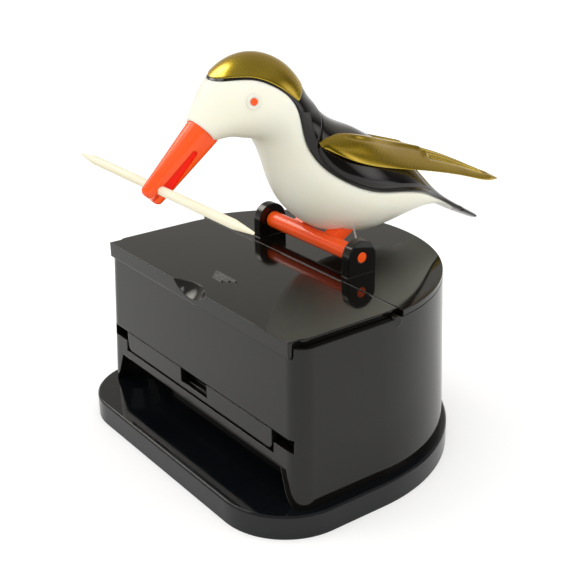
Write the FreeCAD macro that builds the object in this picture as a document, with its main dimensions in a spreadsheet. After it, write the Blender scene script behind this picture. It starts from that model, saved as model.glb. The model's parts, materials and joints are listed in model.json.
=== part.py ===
"""Toothpick dispenser: a bird on a perch that bows to the front of a box and lifts out one pick.

Frame: millimetres, +Z up, the base plate's underside on z = 0 with the origin at its centre.
+Y points to the back of the box, so the bird faces -Y, and +X is on the bird's left.
"""
import FreeCAD
import Part
import Sketcher
import math
import os
import re

doc = FreeCAD.newDocument("toothpick_dispenser")
Vector = FreeCAD.Vector

# ---------------------------------------------------------------- driving sizes
SIZES = {
    # base plate
    "plate_width": 80.2, "plate_length": 69.0, "plate_thick": 5.2, "plate_corner": 15.3,
    "plate_edge": 0.35, "plate_skin": 1.8, "tray_margin": 4.2,
    # box
    "apron": 9.9, "box_width": 73.0, "box_depth": 57.5, "box_height": 40.35, "box_corner": 3.7,
    "side_draft": 1.1, "front_lean": 1.26, "wall": 1.4, "rim_drop": 1.3,
    # recess under the pick slot
    "recess_height": 7.65, "recess_depth": 6.8, "recess_top_side": 4.8, "recess_mid_side": 3.0,
    "recess_foot_side": 1.1, "recess_mid_height": 2.6, "recess_corner": 8.0, "alcove_wall": 1.3,
    # pick slot and the shoulders beside the gate
    "slot_floor": 14.65, "slot_top": 19.85, "slot_side": 1.2, "shoulder_top": 17.15,
    # gate flap, its pin and spring
    "gate_side": 7.9, "gate_height": 4.4, "gate_thick": 1.4, "gate_top_gap": 0.2,
    "gate_end_gap": 0.7, "gate_corner": 1.3, "notch_width": 10.3, "notch_depth": 3.2,
    "pin_radius": 0.45, "pin_rise": 0.7, "pin_clearance": 0.05, "pin_seat": 2.4, "knuckle": 0.95,
    "block_length": 3.0, "gate_skin": 0.4, "gate_coil_inset": 6.6, "gate_coil_space": 4.0,
    "gate_coil_radius": 0.62, "gate_coil_wire": 0.12, "gate_coil_turns": 5.0,
    # hopper tray
    "ledge_gap": 0.15, "ledge_depth": 2.5, "tray_thick": 1.3, "hopper_length": 30.2,
    "hopper_rise": 10.7, "hopper_gap": 0.2, "leg_bar": 1.4, "leg_bar_place": 20.0,
    "leg_bar_length": 20.0,
    # screws and their posts
    "screw_radius": 1.0, "screw_length": 8.5, "screw_head_radius": 2.1, "screw_head_height": 1.5,
    "screw_clearance": 0.15, "thread_clearance": 0.04, "post_radius": 2.6, "front_post_inset": 3.1,
    "front_post_place": 12.6, "front_post_height": 10.0, "rear_post_x": 17.0,
    "rear_post_inset": 4.37,
    # lid
    "lid_length": 26.0, "lid_thick": 1.8, "lid_side_gap": 0.2, "seam_gap": 0.15, "lip_height": 3.35,
    "lip_proud": 0.7, "lip_thick": 1.5, "mouth_side": 2.05, "lip_gap": 0.15, "scoop_radius": 11.0,
    "scoop_offset": 6.44, "bar_length": 7.6, "bar_step": 2.1, "bar_pitch": 1.05, "bar_width": 0.42,
    "bar_proud": 0.2, "bar_place": 7.1, "bar_count": 3,
    # lid hinge
    "hinge_back": 1.5, "hinge_drop": 1.9, "hinge_pin_radius": 0.6, "hinge_ear": 1.2,
    "hinge_lug": 1.3, "hinge_lug_length": 3.0, "hinge_pin_length": 3.4, "hinge_pin_sunk": 0.5,
    "hinge_lug_inset": 0.4,
    # rear cover and its ears
    "cover_lip": 1.2, "cover_lip_depth": 2.4, "cover_gap": 0.15, "ear_place": 14.9,
    "ear_thick": 2.2, "ear_radius": 3.7, "perch_behind_seam": 5.6, "perch_rise": 3.95,
    # perch and return spring
    "perch_radius": 1.9, "stub_radius": 1.15, "perch_gap": 0.3, "perch_spring_space": 1.5,
    "strut_place": 5.5, "strut_width": 3.2, "strut_length": 6.0, "strut_thick": 2.8,
    "strut_lean": 32.0, "coil_wire": 0.2, "coil_radius": 1.6, "coil_turns": 2.0,
    # bird skin
    "skin_thick": 1.4, "cap_thick": 0.7, "cap_proud": 0.25, "hood_edge": 0.55,
    "eye_back": -19.9, "eye_up": 34.2, "eye_radius": 0.75, "eye_proud": 0.55, "eye_depth": 3.0,
    "eye_ring_radius": 1.85, "eye_ring_proud": 0.3, "eye_seat": 2.0,
    # beak and pick
    "beak_root_radius": 2.75, "beak_tip_radius": 1.25, "jaw_root_radius": 1.7,
    "jaw_tip_radius": 1.1, "pick_radius": 0.95, "pick_length": 65.0, "pick_point": 6.0,
    "pick_tip_radius": 0.3, "pick_clearance": 0.03, "pick_back": -38.1, "pick_up": 18.4,
    # wings, and how far the regions that divide the bird's skin reach beyond it
    "wing_thick": 1.6, "region_reach": 60.0,
}

# the bird's skin: rings along its back line, each as far behind and above the perch axis, the
# slope of the line in degrees, and the ring's half height and half width
RINGS = {
    "brow": (-28.1, 28.9, 40.0, 3.1, 3.3),
    "face": (-25.6, 31.0, 36.0, 5.3, 5.6),
    "cheek": (-21.9, 32.9, 20.0, 7.4, 7.6),
    "crown": (-17.3, 33.6, -6.0, 8.8, 9.0),
    "nape": (-12.9, 32.0, -26.0, 8.3, 9.3),
    "throat": (-9.0, 28.0, -48.0, 6.6, 9.0),
    "neck": (-4.0, 21.8, -52.0, 7.4, 10.1),
    "breast": (1.0, 16.2, -43.0, 10.2, 12.0),
    "chest": (6.8, 12.2, -26.0, 11.8, 12.9),
    "belly": (13.0, 10.0, -16.0, 10.4, 12.0),
    "flank": (21.2, 7.7, -17.0, 7.0, 10.3),
    "rump": (28.0, 5.2, -20.0, 3.8, 7.8),
    "tail_root": (33.6, 3.0, -24.0, 1.6, 6.0),
    "tail": (42.0, -1.6, -28.0, 1.0, 5.4),
    "tail_tip": (50.5, -6.0, -28.0, 0.7, 3.6),
}
RING_PARTS = ("back", "up", "slope", "tall", "wide")
RING_POINTS = 12
HOLLOW_RINGS = ("cheek", "crown", "nape", "throat", "neck", "breast", "chest", "belly", "flank")

# the line where the dark back meets the pale front, as far behind and above the perch axis
BACK_EDGE = (
    (-34.0, 40.0), (-26.4, 39.0), (-23.5, 38.2), (-19.1, 38.3), (-15.2, 36.6), (-11.0, 33.5),
    (-9.6, 30.0), (-8.0, 24.3), (-4.3, 18.6), (0.2, 15.0), (7.2, 11.8), (16.2, 9.7),
    (24.0, 7.5), (31.0, 4.2), (41.7, -2.4), (47.0, -5.4), (60.0, -14.0),
)
# the gold cap's lower edge ends at CAP_CORNER, where its back edge starts towards CAP_TOP
CAP_EDGE = ((-34.0, 40.0), (-26.4, 39.0), (-23.5, 38.2), (-19.1, 38.3), (-15.2, 36.6))
CAP_CORNER = (-9.8, 33.1)
CAP_TOP = (-3.2, 39.1)

# the beak: root and tip of its upper bar and of its lower jaw, and the slit between them
BEAK_ROOT = (-28.1, 28.9)
BEAK_TIP = (-40.4, 18.6)
JAW_ROOT = (-26.0, 26.9)
JAW_TIP = (-38.4, 16.6)
SLIT = ((-30.0, 24.9), (-44.0, 14.6), (-40.6, 12.2))

# the return spring's hook, behind and above the perch axis, and how far it leans to the middle
SPRING_HOOK = (3.0, 4.6, 3.2)

# the wings: each ring's place behind the perch axis, then how far sideways and above the axis its
# inner upper edge and its outer lower edge lie; the last one is a point
WING_RINGS = {
    "wing_front": (-5.4, 9.2, 24.5, 10.2, 23.7),
    "wing_shoulder": (-1.6, 8.0, 24.7, 11.9, 21.2),
    "wing_broad": (7.7, 5.5, 22.3, 12.1, 17.3),
    "wing_middle": (18.6, 4.2, 18.8, 11.1, 14.3),
    "wing_rear": (30.0, 4.0, 15.1, 9.5, 11.1),
    "wing_narrow": (41.7, 4.3, 10.3, 7.4, 7.2),
    "wing_end": (50.0, 4.8, 6.1, 5.9, 4.6),
    "wing_tip": (53.3, 5.1, 4.3, 5.1, 4.3),
}
WING_PARTS = ("back", "inner", "high", "outer", "low")

# places and derived sizes, each worked out from the driving sizes
LAYOUT = {
    "plate_front": "-plate_length / 2",
    "plate_half": "plate_width / 2",
    "plate_centre": "plate_length / 2 - plate_half",
    "box_half": "box_width / 2",
    "box_front": "plate_front + apron",
    "box_centre": "box_front + box_depth - box_half",
    "foot_half": "box_half + side_draft",
    "foot_front": "box_front - front_lean",
    "inner_half": "box_half - wall",
    "inner_front": "box_front + wall",
    "inner_corner": "box_corner - wall",
    "inner_foot_half": "foot_half - wall",
    "inner_foot_front": "foot_front + wall",
    "rim": "box_height - rim_drop",
    "front_rim": "box_height - lip_height - lip_gap",
    "seam": "box_front + lid_length",
    "recess_top": "plate_thick + recess_height",
    "recess_mid": "plate_thick + recess_mid_height",
    "recess_top_half": "box_half - recess_top_side",
    "recess_mid_half": "box_half - recess_mid_side",
    "recess_foot_half": "box_half - recess_foot_side",
    "recess_back": "foot_front + recess_depth",
    "recess_face": "-recess_back",
    "recess_far": "2 - foot_front",
    "alcove_back": "recess_back + alcove_wall",
    "alcove_top": "recess_top + alcove_wall",
    "slot_half": "box_half - slot_side",
    "gate_half": "box_half - gate_side",
    "gate_coil_place": "gate_half - gate_coil_inset",
    "gate_high": "slot_top - gate_top_gap",
    "gate_low": "gate_high - gate_height",
    "gate_middle": "(gate_high + gate_low) / 2",
    "gate_front": "box_front - front_lean * (box_height - gate_middle) / (box_height - plate_thick)",
    "gate_back": "gate_front + gate_thick",
    "block_half": "gate_half + gate_end_gap",
    "pin_y": "gate_back - 0.2",
    "pin_z": "gate_low + pin_rise",
    "pin_bore": "pin_radius + pin_clearance",
    "ledge_front": "pin_y + knuckle + ledge_gap",
    "ledge_back": "ledge_front + ledge_depth",
    "ledge_under": "shoulder_top - tray_thick",
    "hopper_face": "ledge_front + hopper_length",
    "hopper_behind": "hopper_face + tray_thick",
    "slope_top": "shoulder_top + hopper_rise",
    "slope_under": "slope_top - tray_thick",
    "hopper_high": "rim - cover_lip_depth - hopper_gap",
    "leg_front": "hopper_behind - leg_bar_length",
    "slope_rate": "hopper_rise / (hopper_face - ledge_back)",
    "leg_high": "shoulder_top + slope_rate * (leg_front - ledge_back) - tray_thick / 2",
    "tray_half": "inner_half - hopper_gap",
    "tray_corner": "inner_corner - hopper_gap",
    "tray_floor_half": "inner_half - tray_margin",
    "tray_floor_front": "alcove_back + tray_margin / 2",
    "tray_floor_corner": "box_corner",
    "screw_hole": "screw_radius + screw_clearance",
    "thread_hole": "screw_radius + thread_clearance",
    "head_hole": "screw_head_radius + screw_clearance",
    "head_depth": "screw_head_height + screw_clearance",
    "screw_reach": "head_depth + screw_length",
    "front_post_x": "inner_half - front_post_inset",
    "front_post_y": "box_front + front_post_place",
    "rear_post_reach": "inner_half - rear_post_inset",
    "rear_post_y": "box_centre + sqrt(rear_post_reach ^ 2 - rear_post_x ^ 2)",
    "lid_half": "inner_half - lid_side_gap",
    "lid_front": "inner_front + lid_side_gap",
    "lid_corner": "inner_corner - lid_side_gap",
    "lid_low": "box_height - lid_thick",
    "lid_back": "seam - seam_gap",
    "mouth_half": "box_half - mouth_side",
    "lip_half": "mouth_half - lip_gap",
    "lip_front": "box_front - lip_proud",
    "hinge_y": "lid_back - hinge_back",
    "hinge_z": "box_height - hinge_drop",
    "hinge_bore": "hinge_pin_radius + pin_clearance",
    "hinge_pin_out": "box_half - hinge_pin_sunk",
    "hinge_pin_in": "hinge_pin_out - hinge_pin_length",
    "hinge_bore_out": "hinge_pin_out + pin_clearance",
    "hinge_lug_out": "lid_half - hinge_lug_inset",
    "cover_front": "seam + seam_gap",
    "spigot_half": "inner_half - cover_gap",
    "spigot_front": "inner_front + cover_gap",
    "spigot_corner": "inner_corner - cover_gap",
    "spigot_inner_half": "spigot_half - cover_lip",
    "spigot_inner_front": "spigot_front + cover_lip",
    "spigot_inner_corner": "spigot_corner - cover_lip",
    "ear_out": "ear_place + ear_thick",
    "perch_y": "seam + perch_behind_seam",
    "perch_z": "box_height + perch_rise",
    "stub_bore": "stub_radius + pin_clearance",
    "tube_left": "perch_gap - ear_place",
    "tube_right": "ear_place - perch_spring_space",
}

for rings, part_names in ((RINGS, RING_PARTS), (WING_RINGS, WING_PARTS)):
    for ring, numbers in rings.items():
        for part_name, number in zip(part_names, numbers):
            SIZES[f"{ring}_{part_name}"] = number


# ---------------------------------------------------------------- sheets and small helpers
WORD = re.compile(r"[a-z][a-z_0-9]*")


def full(formula, inside_layout=False):
    """The formula with each alias led by the name of its sheet."""
    def lead(match):
        word = match.group(0)
        if word in SIZES:
            return "sizes." + word
        if word in LAYOUT and not inside_layout:
            return "layout." + word
        return word
    return WORD.sub(lead, formula)


def fill_sheet(name, cells):
    """A spreadsheet with each cell's name in column A and its value or formula in column B."""
    sheet = doc.addObject("Spreadsheet::Sheet", name)
    for row, (alias, content) in enumerate(cells.items(), start=1):
        sheet.set(f"A{row}", alias)
        sheet.setAlias(f"B{row}", alias)
    for row, (alias, content) in enumerate(cells.items(), start=1):
        sheet.set(f"B{row}", content)
    doc.recompute()
    return sheet


sizes = fill_sheet("sizes", {alias: str(value) for alias, value in SIZES.items()})
layout = fill_sheet("layout", {alias: "=" + full(text, True) for alias, text in LAYOUT.items()})


def size(alias):
    """The number in a cell of either sheet."""
    sheet = sizes if alias in SIZES else layout
    return float(sheet.get(alias))


def bind(item, prop, formula):
    item.setExpression(prop, full(formula))


def put(item, x="0", y="0", z="0"):
    """Bind an object's position to three formulas."""
    bind(item, "Placement.Base.x", x)
    bind(item, "Placement.Base.y", y)
    bind(item, "Placement.Base.z", z)
    return item


def box(x, y, z):
    """A box between two formulas on each axis."""
    item = doc.addObject("Part::Box", "Box")
    for prop, (low, high) in zip(("Length", "Width", "Height"), (x, y, z)):
        bind(item, prop, f"({high}) - ({low})")
    return put(item, x[0], y[0], z[0])


def rod(axis, radius, span, across):
    """A cylinder along x or z, between the span's two formulas, at the two across formulas."""
    item = doc.addObject("Part::Cylinder", "Rod")
    bind(item, "Radius", radius)
    bind(item, "Height", f"({span[1]}) - ({span[0]})")
    if axis == "x":
        item.Placement = FreeCAD.Placement(Vector(), FreeCAD.Rotation(Vector(0, 1, 0), 90))
        return put(item, span[0], *across)
    return put(item, *across, span[0])


def join(parts):
    item = doc.addObject("Part::MultiFuse", "Join")
    item.Shapes = parts
    item.Refine = True
    return item


def cut(base, tools):
    item = doc.addObject("Part::Cut", "Trim")
    item.Base = base
    item.Tool = join(tools) if len(tools) > 1 else tools[0]
    item.Refine = True
    return item


def common(base, tool):
    item = doc.addObject("Part::Common", "Overlap")
    item.Base = base
    item.Tool = tool
    item.Refine = True
    return item


def group(parts):
    item = doc.addObject("Part::Compound", "Group")
    item.Links = parts
    return item


def form(shape):
    """A free-form shape as an object of the document."""
    item = doc.addObject("Part::Feature", "Form")
    item.Shape = shape
    return item


def both_sides(make):
    """What make builds for the left (-1) and for the right (+1)."""
    return [made for side in ("-1", "1") for made in make(side)]


def side_span(side, inner, outer):
    """A span along x from the inner to the outer formula, mirrored for the left side."""
    if side == "1":
        return (inner, outer)
    return (f"-({outer})", f"-({inner})")


NODES = []


def node(item, label):
    """Name a finished sub-part, which becomes one file."""
    item.Label = label
    NODES.append(item)
    return item


# ---------------------------------------------------------------- sketched outlines
def add_sketch(body, role, offsets):
    """A sketch on one of the body's origin planes, moved by formulas for its offset."""
    plane = next(item for item in body.Origin.OriginFeatures if item.Role == role)
    sketch = body.newObject("Sketcher::SketchObject", "Outline")
    sketch.AttachmentSupport = [(plane, "")]
    sketch.MapMode = "FlatFace"
    for axis, formula in offsets.items():
        bind(sketch, "AttachmentOffset.Base." + axis, formula)
    return sketch


def drive(sketch, name, constraint, formula):
    """Add a constraint and bind its value."""
    number = sketch.addConstraint(constraint)
    sketch.renameConstraint(number, name)
    bind(sketch, "Constraints." + name, formula)


def d_sketch(body, height, half, front, centre, corner):
    """A flat front with two round corners, straight sides and a half-round back.

    The sketch's own origin is the centre of the half-round back.
    """
    sketch = add_sketch(body, "XY_Plane", {"y": centre, "z": height})
    a, r = size(half), size(corner)
    f = size(front) - size(centre)
    up = Vector(0, 0, 1)

    def arc(x, y, radius, start, end):
        circle = Part.Circle(Vector(x, y, 0), up, radius)
        return Part.ArcOfCircle(circle, math.radians(start), math.radians(end))

    sketch.addGeometry([
        Part.LineSegment(Vector(-a + r, f, 0), Vector(a - r, f, 0)),
        arc(a - r, f + r, r, -90, 0),
        Part.LineSegment(Vector(a, f + r, 0), Vector(a, 0, 0)),
        arc(0, 0, a, 0, 180),
        Part.LineSegment(Vector(-a, 0, 0), Vector(-a, f + r, 0)),
        arc(-a + r, f + r, r, 180, 270),
    ], False)
    for this in range(6):
        sketch.addConstraint(Sketcher.Constraint("Tangent", this, 2, (this + 1) % 6, 1))
    sketch.addConstraint(Sketcher.Constraint("Coincident", 3, 3, -1, 1))
    sketch.addConstraint(Sketcher.Constraint("Horizontal", 0))
    sketch.addConstraint(Sketcher.Constraint("Vertical", 2))
    sketch.addConstraint(Sketcher.Constraint("Vertical", 4))
    sketch.addConstraint(Sketcher.Constraint("Equal", 1, 5))
    drive(sketch, "half", Sketcher.Constraint("Radius", 3, a), half)
    drive(sketch, "corner", Sketcher.Constraint("Radius", 1, r), corner)
    drive(sketch, "front", Sketcher.Constraint("DistanceY", 0, 1, -1, 1, -f), f"{centre} - {front}")
    return sketch


def d_block(span, half, front, centre, corner):
    """A straight-sided block on a D outline, between two heights."""
    body = doc.addObject("PartDesign::Body", "Block")
    outline = d_sketch(body, span[0], half, front, centre, corner)
    pad = body.newObject("PartDesign::Pad", "Pad")
    pad.Profile = outline
    bind(pad, "Length", f"({span[1]}) - ({span[0]})")
    body.Tip = pad
    return body


def d_loft(outlines):
    """A drafted form through two or more D outlines, each given as d_sketch takes it."""
    body = doc.addObject("PartDesign::Body", "Draft")
    sketches = [d_sketch(body, *outline) for outline in outlines]
    loft = body.newObject("PartDesign::AdditiveLoft", "Loft")
    loft.Profile = sketches[0]
    loft.Sections = sketches[1:]
    loft.Ruled = True
    body.Tip = loft
    return body


def side_profile(points, span):
    """A closed outline of (y, z) aliases, padded along x between two formulas."""
    body = doc.addObject("PartDesign::Body", "Profile")
    sketch = add_sketch(body, "YZ_Plane", {"z": span[0]})
    spots = [Vector(size(y), size(z), 0) for y, z in points]
    count = len(points)
    lines = [Part.LineSegment(spots[n], spots[(n + 1) % count]) for n in range(count)]
    sketch.addGeometry(lines, False)
    for n, (y, z) in enumerate(points):
        sketch.addConstraint(Sketcher.Constraint("Coincident", n, 2, (n + 1) % count, 1))
        drive(sketch, f"y_{n}", Sketcher.Constraint("DistanceX", -1, 1, n, 1, spots[n].x), y)
        drive(sketch, f"z_{n}", Sketcher.Constraint("DistanceY", -1, 1, n, 1, spots[n].y), z)
    pad = body.newObject("PartDesign::Pad", "Pad")
    pad.Profile = sketch
    bind(pad, "Length", f"({span[1]}) - ({span[0]})")
    body.Tip = pad
    return body


# ---------------------------------------------------------------- base plate and screws
FRONT_POSTS = (("front_post_x", "front_post_y"), ("-front_post_x", "front_post_y"))
REAR_POSTS = (("rear_post_x", "rear_post_y"), ("-rear_post_x", "rear_post_y"))
POSTS = FRONT_POSTS + REAR_POSTS


def make_base_plate():
    """The foot: a D slab with a bevelled top edge, thinned from above inside the box."""
    body = doc.addObject("PartDesign::Body", "Plate")
    outline = d_sketch(body, "0", "plate_half", "plate_front", "plate_centre", "plate_corner")
    pad = body.newObject("PartDesign::Pad", "Slab")
    pad.Profile = outline
    bind(pad, "Length", "plate_thick")
    doc.recompute()
    faces = pad.Shape.Faces
    top = max(range(len(faces)), key=lambda number: faces[number].CenterOfMass.z)
    bevel = body.newObject("PartDesign::Chamfer", "Bevel")
    bevel.Base = (pad, [f"Face{top + 1}"])
    bind(bevel, "Size", "plate_edge")
    hollow = d_sketch(body, "plate_thick", "tray_floor_half", "tray_floor_front", "box_centre",
                      "tray_floor_corner")
    pocket = body.newObject("PartDesign::Pocket", "Hollow")
    pocket.Profile = hollow
    bind(pocket, "Length", "plate_thick - plate_skin")
    body.Tip = pocket
    pads = [rod("z", "post_radius", ("plate_skin / 2", "plate_thick"), post) for post in POSTS]
    holes = []
    for post in POSTS:
        holes.append(rod("z", "screw_hole", ("-1", "plate_thick + 1"), post))
        holes.append(rod("z", "head_hole", ("-1", "head_depth"), post))
    return node(cut(join([body] + pads), holes), "base_plate")


def make_base_screws():
    """Four self-tapping screws, driven up from under the plate."""
    screws = []
    for post in POSTS:
        x, y = post
        low = "head_depth - screw_head_height"
        head = rod("z", "screw_head_radius", (low, "head_depth"), post)
        shank = rod("z", "screw_radius", ("head_depth", "screw_reach"), post)
        point = doc.addObject("Part::Cone", "Point")
        bind(point, "Radius1", "screw_radius")
        bind(point, "Radius2", "screw_radius / 4")
        bind(point, "Height", "screw_radius")
        put(point, x, y, "screw_reach")
        long_half, short_half = "screw_head_radius * 0.6", "screw_head_radius * 0.12"
        deep = (f"{low} - 1", f"{low} + screw_head_height / 2")
        cross = []
        for half_x, half_y in ((long_half, short_half), (short_half, long_half)):
            cross.append(box((f"{x} - {half_x}", f"{x} + {half_x}"),
                             (f"{y} - {half_y}", f"{y} + {half_y}"), deep))
        screws.append(cut(join([head, shank, point]), cross))
    return node(group(screws), "base_screws")


# ---------------------------------------------------------------- box
def make_recess():
    """The space under the pick slot: ends that flare at the foot, round back corners in plan."""
    body = d_loft([
        ("plate_thick", "recess_foot_half", "recess_face", "recess_far", "recess_corner"),
        ("recess_mid", "recess_mid_half", "recess_face", "recess_far", "recess_corner"),
        ("recess_top", "recess_top_half", "recess_face", "recess_far", "recess_corner"),
    ])
    body.Placement = FreeCAD.Placement(Vector(), FreeCAD.Rotation(Vector(0, 0, 1), 180))
    return body


def make_body_shell():
    """The box: drafted walls, the recess in its foot, the pick slot and its four fixing posts."""
    outer = d_loft([
        ("plate_thick", "foot_half", "foot_front", "box_centre", "box_corner"),
        ("box_height", "box_half", "box_front", "box_centre", "box_corner"),
    ])
    inner = d_loft([
        ("plate_thick", "inner_foot_half", "inner_foot_front", "box_centre", "inner_corner"),
        ("box_height", "inner_half", "inner_front", "box_centre", "inner_corner"),
    ])
    alcove = box(("-plate_width", "plate_width"), ("plate_front", "alcove_back"),
                 ("plate_thick - 1", "alcove_top"))
    every_x = ("-plate_width", "plate_width")
    front_y = ("plate_front", "box_front + box_corner")
    above_rim = box(every_x, ("plate_front", "plate_length"), ("rim", "box_height + 1"))
    lid_mouth = box(("-mouth_half", "mouth_half"), front_y, ("front_rim", "box_height + 1"))
    slot = box(("-block_half", "block_half"), front_y, ("slot_floor", "slot_top"))
    end_slots = box(("-slot_half", "slot_half"), front_y, ("shoulder_top", "slot_top"))
    walls = cut(outer, [cut(inner, [alcove]), make_recess(), above_rim, lid_mouth, slot, end_slots])

    def fittings(side):
        x, y = f"{side} * front_post_x", "front_post_y"
        post = rod("z", "post_radius", ("plate_thick", "plate_thick + front_post_height"), (x, y))
        rib = box(side_span(side, "front_post_x", "inner_half + wall * 0.7"),
                  (f"{y} - post_radius / 2", f"{y} + post_radius / 2"),
                  ("plate_thick", "plate_thick + front_post_height"))
        block = box(side_span(side, "block_half", "block_half + block_length"),
                    ("gate_front + wall / 2", "pin_y + knuckle"),
                    ("alcove_top - alcove_wall / 2", "shoulder_top"))
        ear = rod("x", "hinge_ear", side_span(side, "inner_half", "box_half"), ("hinge_y", "hinge_z"))
        return [post, rib, block, ear]

    def holes(side):
        thread = rod("z", "thread_hole", ("plate_thick - 1", "screw_reach + screw_radius + 0.5"),
                     (f"{side} * front_post_x", "front_post_y"))
        socket = rod("x", "pin_bore", side_span(side, "block_half - 1", "block_half + pin_seat"),
                     ("pin_y", "pin_z"))
        hinge = rod("x", "hinge_bore", side_span(side, "inner_half - 1", "hinge_bore_out"),
                    ("hinge_y", "hinge_z"))
        return [thread, socket, hinge]

    return node(cut(join([walls] + both_sides(fittings)), both_sides(holes)), "body_shell")


# ---------------------------------------------------------------- hopper, gate
def make_hopper_tray():
    """The slope that feeds the picks to a ledge behind the gate, on two upright bars."""
    slope = side_profile([
        ("ledge_front", "shoulder_top"), ("ledge_back", "shoulder_top"),
        ("hopper_face", "slope_top"), ("hopper_face", "hopper_high"),
        ("hopper_behind", "hopper_high"), ("hopper_behind", "slope_under"),
        ("ledge_back", "ledge_under"), ("ledge_front", "ledge_under"),
    ], ("-box_width", "box_width"))
    room = d_block(("plate_thick", "box_height"), "tray_half", "ledge_front", "box_centre", "tray_corner")
    bars = both_sides(lambda side: [side_profile([
        ("leg_front", "plate_skin"), ("hopper_behind", "plate_skin"),
        ("hopper_behind", "slope_under"), ("leg_front", "leg_high"),
    ], (f"{side} * leg_bar_place - leg_bar / 2", f"{side} * leg_bar_place + leg_bar / 2"))])
    return node(join([common(slope, room)] + bars), "hopper_tray")


def make_pickup_gate():
    """The flap in the slot: round lower corners, a notch for the beak, a knuckle on the pin."""
    flap = box(("-gate_half", "gate_half"), ("gate_front", "gate_back"), ("gate_low", "gate_high"))
    doc.recompute()
    rounded = doc.addObject("Part::Fillet", "Corners")
    rounded.Base = flap
    corner = size("gate_corner")
    low = size("gate_low")
    chosen = []
    for number, edge in enumerate(flap.Shape.Edges, start=1):
        along_y = abs(edge.tangentAt(edge.FirstParameter).y) > 0.9
        if along_y and edge.CenterOfMass.z < low + 0.1:
            chosen.append((number, corner, corner))
    rounded.Edges = chosen
    knuckle = rod("x", "knuckle", ("gate_corner - gate_half", "gate_half - gate_corner"),
                  ("pin_y", "pin_z"))
    notch = box(("-notch_width / 2", "notch_width / 2"), ("gate_front - 1", "pin_y + knuckle + 1"),
                ("gate_high - notch_depth", "gate_high + 1"))
    bore = rod("x", "pin_bore", ("-gate_half - 1", "gate_half + 1"), ("pin_y", "pin_z"))
    coil_room = box(("gate_coil_place", "gate_coil_place + gate_coil_space"),
                    ("gate_front + gate_skin", "pin_y + knuckle + 1"),
                    ("gate_low - 1", "pin_z + knuckle + 0.1"))
    return node(cut(join([rounded, knuckle]), [notch, bore, coil_room]), "pickup_gate")


def make_gate_pin():
    """A steel rod from socket to socket."""
    end = "block_half + pin_seat - pin_clearance"
    return node(rod("x", "pin_radius", (f"-({end})", end), ("pin_y", "pin_z")), "gate_pin")


def wire_run(points, radius):
    """A round wire through the points, with a ball at each bend and end."""
    pieces = [Part.makeSphere(radius, point) for point in points]
    for start, end in zip(points, points[1:]):
        run = end - start
        pieces.append(Part.makeCylinder(radius, run.Length, start, run))
    return pieces


def coil(start, length, mean_radius, wire, turns):
    """A coil round an axis along x from the start point, and the ends of its centre line.

    Both ends lie straight behind the axis when the turns are whole.
    """
    helix = Part.makeHelix(length / turns, length, mean_radius)
    ring = Part.Wire(Part.makeCircle(wire, Vector(mean_radius, 0, 0), Vector(0, 1, 0)))
    pipe = Part.Wire(helix.Edges).makePipeShell([ring], True, True)
    shape = Part.makeSolid(pipe) if pipe.ShapeType == "Shell" else pipe
    along_x = FreeCAD.Rotation(Vector(0, 1, 0), 90)
    to_back = FreeCAD.Rotation(Vector(1, 0, 0), 90)
    turn = FreeCAD.Placement(start, to_back.multiply(along_x))
    shape.Placement = turn.multiply(shape.Placement)
    ends = [turn.multVec(Vector(mean_radius, 0, 0)), turn.multVec(Vector(mean_radius, 0, length))]
    return shape, ends


def make_gate_spring():
    """A coil on the gate's pin: one leg bears on the flap, the other under the ledge."""
    wire = size("gate_coil_wire")
    length = size("gate_coil_space") - 4 * wire
    start = Vector(size("gate_coil_place") + 2 * wire, size("pin_y"), size("pin_z"))
    shape, (first, last) = coil(start, length, size("gate_coil_radius"), wire, size("gate_coil_turns"))
    lift = Vector(first.x, first.y, size("pin_z") + size("knuckle") + wire)
    flap_side = Vector(first.x, size("gate_back") + 1.1 * wire, lift.z + size("knuckle"))
    drop = Vector(last.x, last.y, size("ledge_under") - 2 * wire)
    rest = Vector(last.x, size("ledge_front") + size("knuckle"), size("ledge_under") - 1.1 * wire)
    pieces = wire_run([first, lift, flap_side], wire) + wire_run([last, drop, rest], wire)
    return node(form(shape.fuse(pieces)), "gate_spring")


# ---------------------------------------------------------------- lid
def make_front_lid():
    """The refill lid: a plate between the walls, a lip over the front and a finger scoop."""
    plate = d_block(("lid_low", "box_height"), "lid_half", "lid_front", "box_centre", "lid_corner")
    behind = box(("-plate_width", "plate_width"), ("lid_back", "plate_length"),
                 ("lid_low - 1", "box_height + 1"))
    strip = box(("-lip_half", "lip_half"), ("lip_front", "lid_front + lip_thick"),
                ("lid_low", "box_height"))
    lip = box(("-lip_half", "lip_half"), ("lip_front", "lip_front + lip_thick"),
              ("box_height - lip_height", "box_height"))
    bars = []
    for number in range(int(size("bar_count"))):
        half = f"(bar_length / 2 - {size('bar_count') - 1 - number} * bar_step / 2)"
        middle = f"(lip_front + bar_place + {number} * bar_pitch)"
        bars.append(box((f"-{half}", half), (f"{middle} - bar_width / 2", f"{middle} + bar_width / 2"),
                        ("box_height - bar_proud", "box_height + bar_proud")))
    lugs = both_sides(lambda side: [
        rod("x", "hinge_lug", side_span(side, "hinge_lug_out - hinge_lug_length", "hinge_lug_out"),
            ("hinge_y", "hinge_z"))])
    scoop = doc.addObject("Part::Sphere", "Scoop")
    bind(scoop, "Radius", "scoop_radius")
    put(scoop, "0", "lip_front - scoop_offset", "box_height + scoop_offset")
    bores = both_sides(lambda side: [
        rod("x", "hinge_bore", side_span(side, "hinge_pin_in - pin_clearance", "box_half"),
            ("hinge_y", "hinge_z"))])
    whole = join([cut(plate, [behind]), strip, lip] + bars + lugs)
    return node(cut(whole, [scoop] + bores), "front_lid")


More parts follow.
